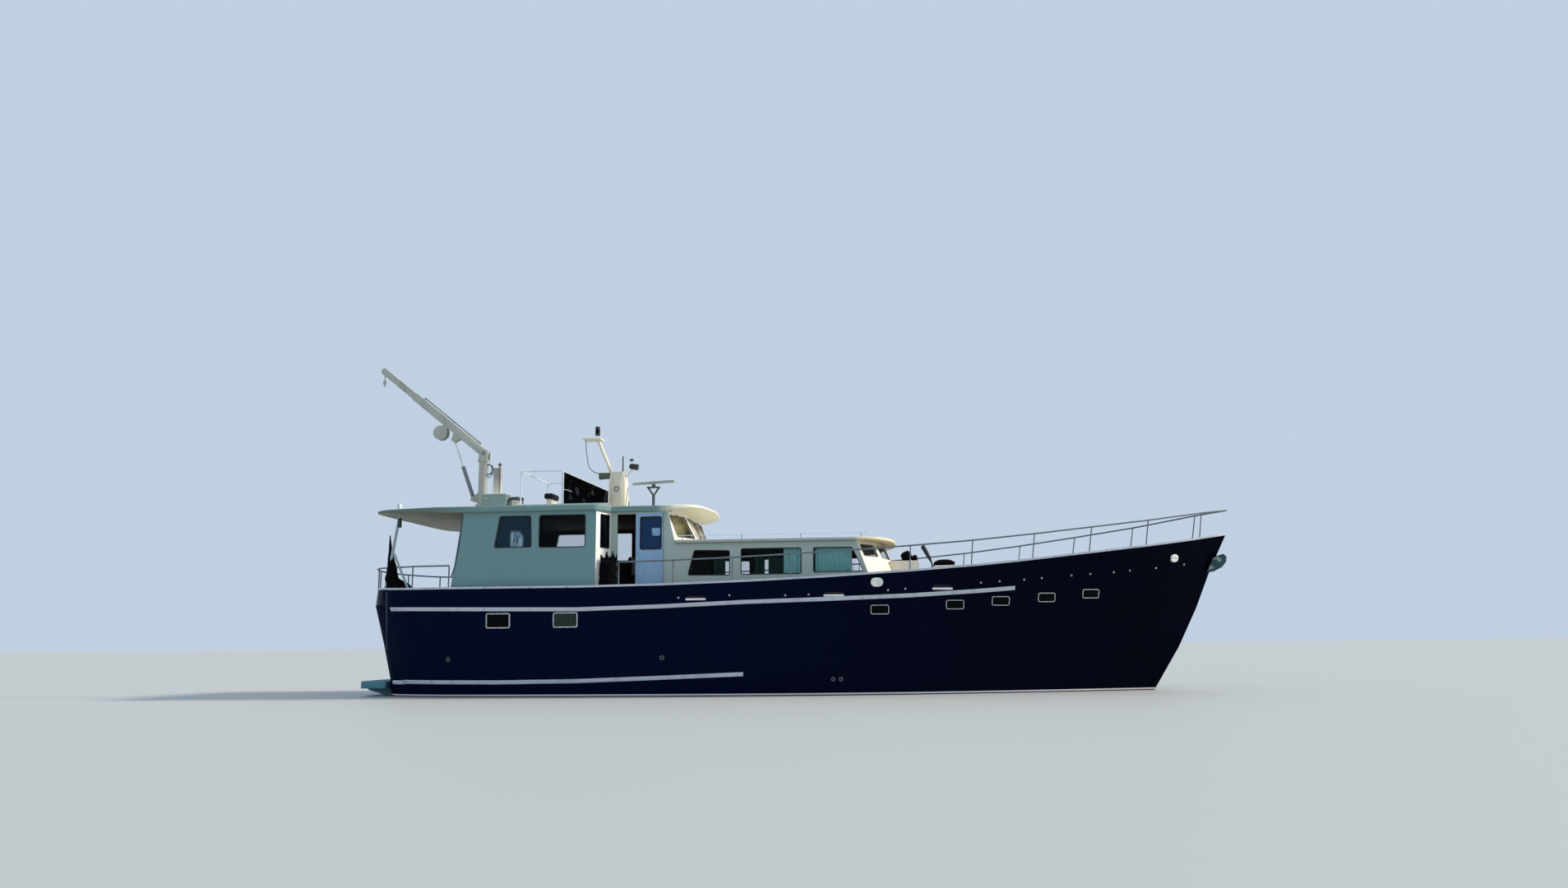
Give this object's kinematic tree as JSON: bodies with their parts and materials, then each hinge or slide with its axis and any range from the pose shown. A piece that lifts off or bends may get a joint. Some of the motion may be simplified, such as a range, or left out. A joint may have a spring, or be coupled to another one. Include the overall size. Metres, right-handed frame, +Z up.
{
  "type": "trawler-type motor yacht",
  "caption": "Steel trawler-type motor yacht with aft cabin, wheelhouse, low saloon, roof crane, radar, rails and a full displacement hull.",
  "frame": {"origin": "on the centreline amidships at the waterline", "axes": "+X to the bow, +Y to port, +Z up"},
  "size_m": [22.5465, 5.6106, 10.9659],
  "materials": {
    "hull_paint": "gloss",
    "bottom_paint": "matt",
    "white_paint": "satin",
    "cabin_paint": "satin",
    "cream_paint": "satin",
    "window_glass": "tinted",
    "stainless_tube": "polished",
    "propeller_bronze": "machined",
    "deck_covering": "matt",
    "black_cloth": "woven",
    "fender_rubber": "matt"
  },
  "bodies": {
    "boat": {"aft_cabin_aft_wall": "cabin_paint", "aft_cabin_pane_port": "window_glass", "aft_cabin_pane_starboard": "window_glass", "aft_cabin_side_port": "cabin_paint", "aft_cabin_side_starboard": "cabin_paint", "anchor": "stainless_tube", "bulwark_port": "hull_paint", "bulwark_starboard": "hull_paint", "bulwark_stern": "hull_paint", "cap_rail": "white_paint", "crane_pedestal": "white_paint", "exhaust_casing": "cabin_paint", "fender": "fender_rubber", "fly_coaming": "white_paint", "fly_rail": "stainless_tube", "fly_seat": "white_paint", "foredeck_locker": "cream_paint", "guard_rail": "stainless_tube", "helm_console": "deck_covering", "hull": "hull_paint", "keel": "bottom_paint", "main_roof": "white_paint", "mast": "cream_paint", "radar_pedestal": "white_paint", "roof_post_port": "cabin_paint", "roof_post_starboard": "cabin_paint", "rub_rail_lower_port": "white_paint", "rub_rail_lower_starboard": "white_paint", "rub_rail_upper_port": "white_paint", "rub_rail_upper_starboard": "white_paint", "saloon_front": "cream_paint", "saloon_pane_front": "window_glass", "saloon_pane_port": "window_glass", "saloon_pane_starboard": "window_glass", "saloon_roof": "white_paint", "saloon_side_port": "cabin_paint", "saloon_side_starboard": "cabin_paint", "skylight": "cream_paint", "stern_rail": "stainless_tube", "swim_platform": "deck_covering", "weather_cloth": "black_cloth", "wheelhouse_front": "cream_paint", "wheelhouse_pane_front": "window_glass", "wheelhouse_side_port": "cabin_paint", "wheelhouse_side_starboard": "cabin_paint", "windlass": "stainless_tube"},
    "propeller": {"propeller": "propeller_bronze"},
    "rudder": {"rudder": "bottom_paint"},
    "crane_column": {"crane_column": "white_paint"},
    "crane_boom": {"crane_boom": "white_paint"},
    "crane_extension": {"crane_extension": "white_paint"},
    "crane_cylinder": {"crane_cylinder": "stainless_tube"},
    "crane_rod": {"crane_rod": "stainless_tube"},
    "radar_scanner": {"radar_scanner": "white_paint"},
    "wheelhouse_door_starboard": {"wheelhouse_door_starboard": "cabin_paint", "door_pane_starboard": "window_glass"},
    "wheelhouse_door_port": {"wheelhouse_door_port": "cabin_paint", "door_pane_port": "window_glass"},
    "aft_door": {"aft_door": "cabin_paint"}
  },
  "joints": [
    {"name": "propeller_spin", "type": "hinge", "parent": "boat", "child": "propeller", "pos_m": [-8.42, 0, -1.35], "axis": [1, 0, 0], "continuous": true},
    {"name": "rudder_turn", "type": "hinge", "parent": "boat", "child": "rudder", "pos_m": [-9, 0, -1.3], "axis": [0, 0, 1], "range_deg": [-35, 35]},
    {"name": "crane_slew", "type": "hinge", "parent": "boat", "child": "crane_column", "pos_m": [-8.47, 0, 5], "axis": [0, 0, 1], "range_deg": [-115, 115]},
    {"name": "crane_luff", "type": "hinge", "parent": "crane_column", "child": "crane_boom", "pos_m": [-8.44, 0, 6.4], "axis": [0, 1, 0], "range_deg": [-32, 28]},
    {"name": "crane_extend", "type": "slide", "parent": "crane_boom", "child": "crane_extension", "axis": [-0.7771, 0, 0.6293], "range_m": [-1, 0.3]},
    {"name": "crane_cylinder_tilt", "type": "hinge", "parent": "crane_column", "child": "crane_cylinder", "pos_m": [-8.72, 0, 5.17], "axis": [0, 1, 0], "range_deg": [-13, 11.5]},
    {"name": "crane_rod_slide", "type": "slide", "parent": "crane_cylinder", "child": "crane_rod", "axis": [-0.3454, 0, 0.9384], "range_m": [-0.395, 0.345]},
    {"name": "radar_spin", "type": "hinge", "parent": "boat", "child": "radar_scanner", "pos_m": [-3.755, 0, 5.42], "axis": [0, 0, 1], "continuous": true},
    {"name": "door_slide_starboard", "type": "slide", "parent": "boat", "child": "wheelhouse_door_starboard", "axis": [-1, 0, 0], "range_m": [0, 0.52]},
    {"name": "door_slide_port", "type": "slide", "parent": "boat", "child": "wheelhouse_door_port", "axis": [-1, 0, 0], "range_m": [0, 0.52]},
    {"name": "aft_door_swing", "type": "hinge", "parent": "boat", "child": "aft_door", "pos_m": [-8.067, 0.424, 3.35], "axis": [0, 0, -1], "range_deg": [0, 100]}
  ],
  "couplings": [
    {"joint": "crane_cylinder_tilt", "follows": "crane_luff", "ratio": 0.39},
    {"joint": "crane_rod_slide", "follows": "crane_luff", "m_per_rad": 0.7}
  ]
}
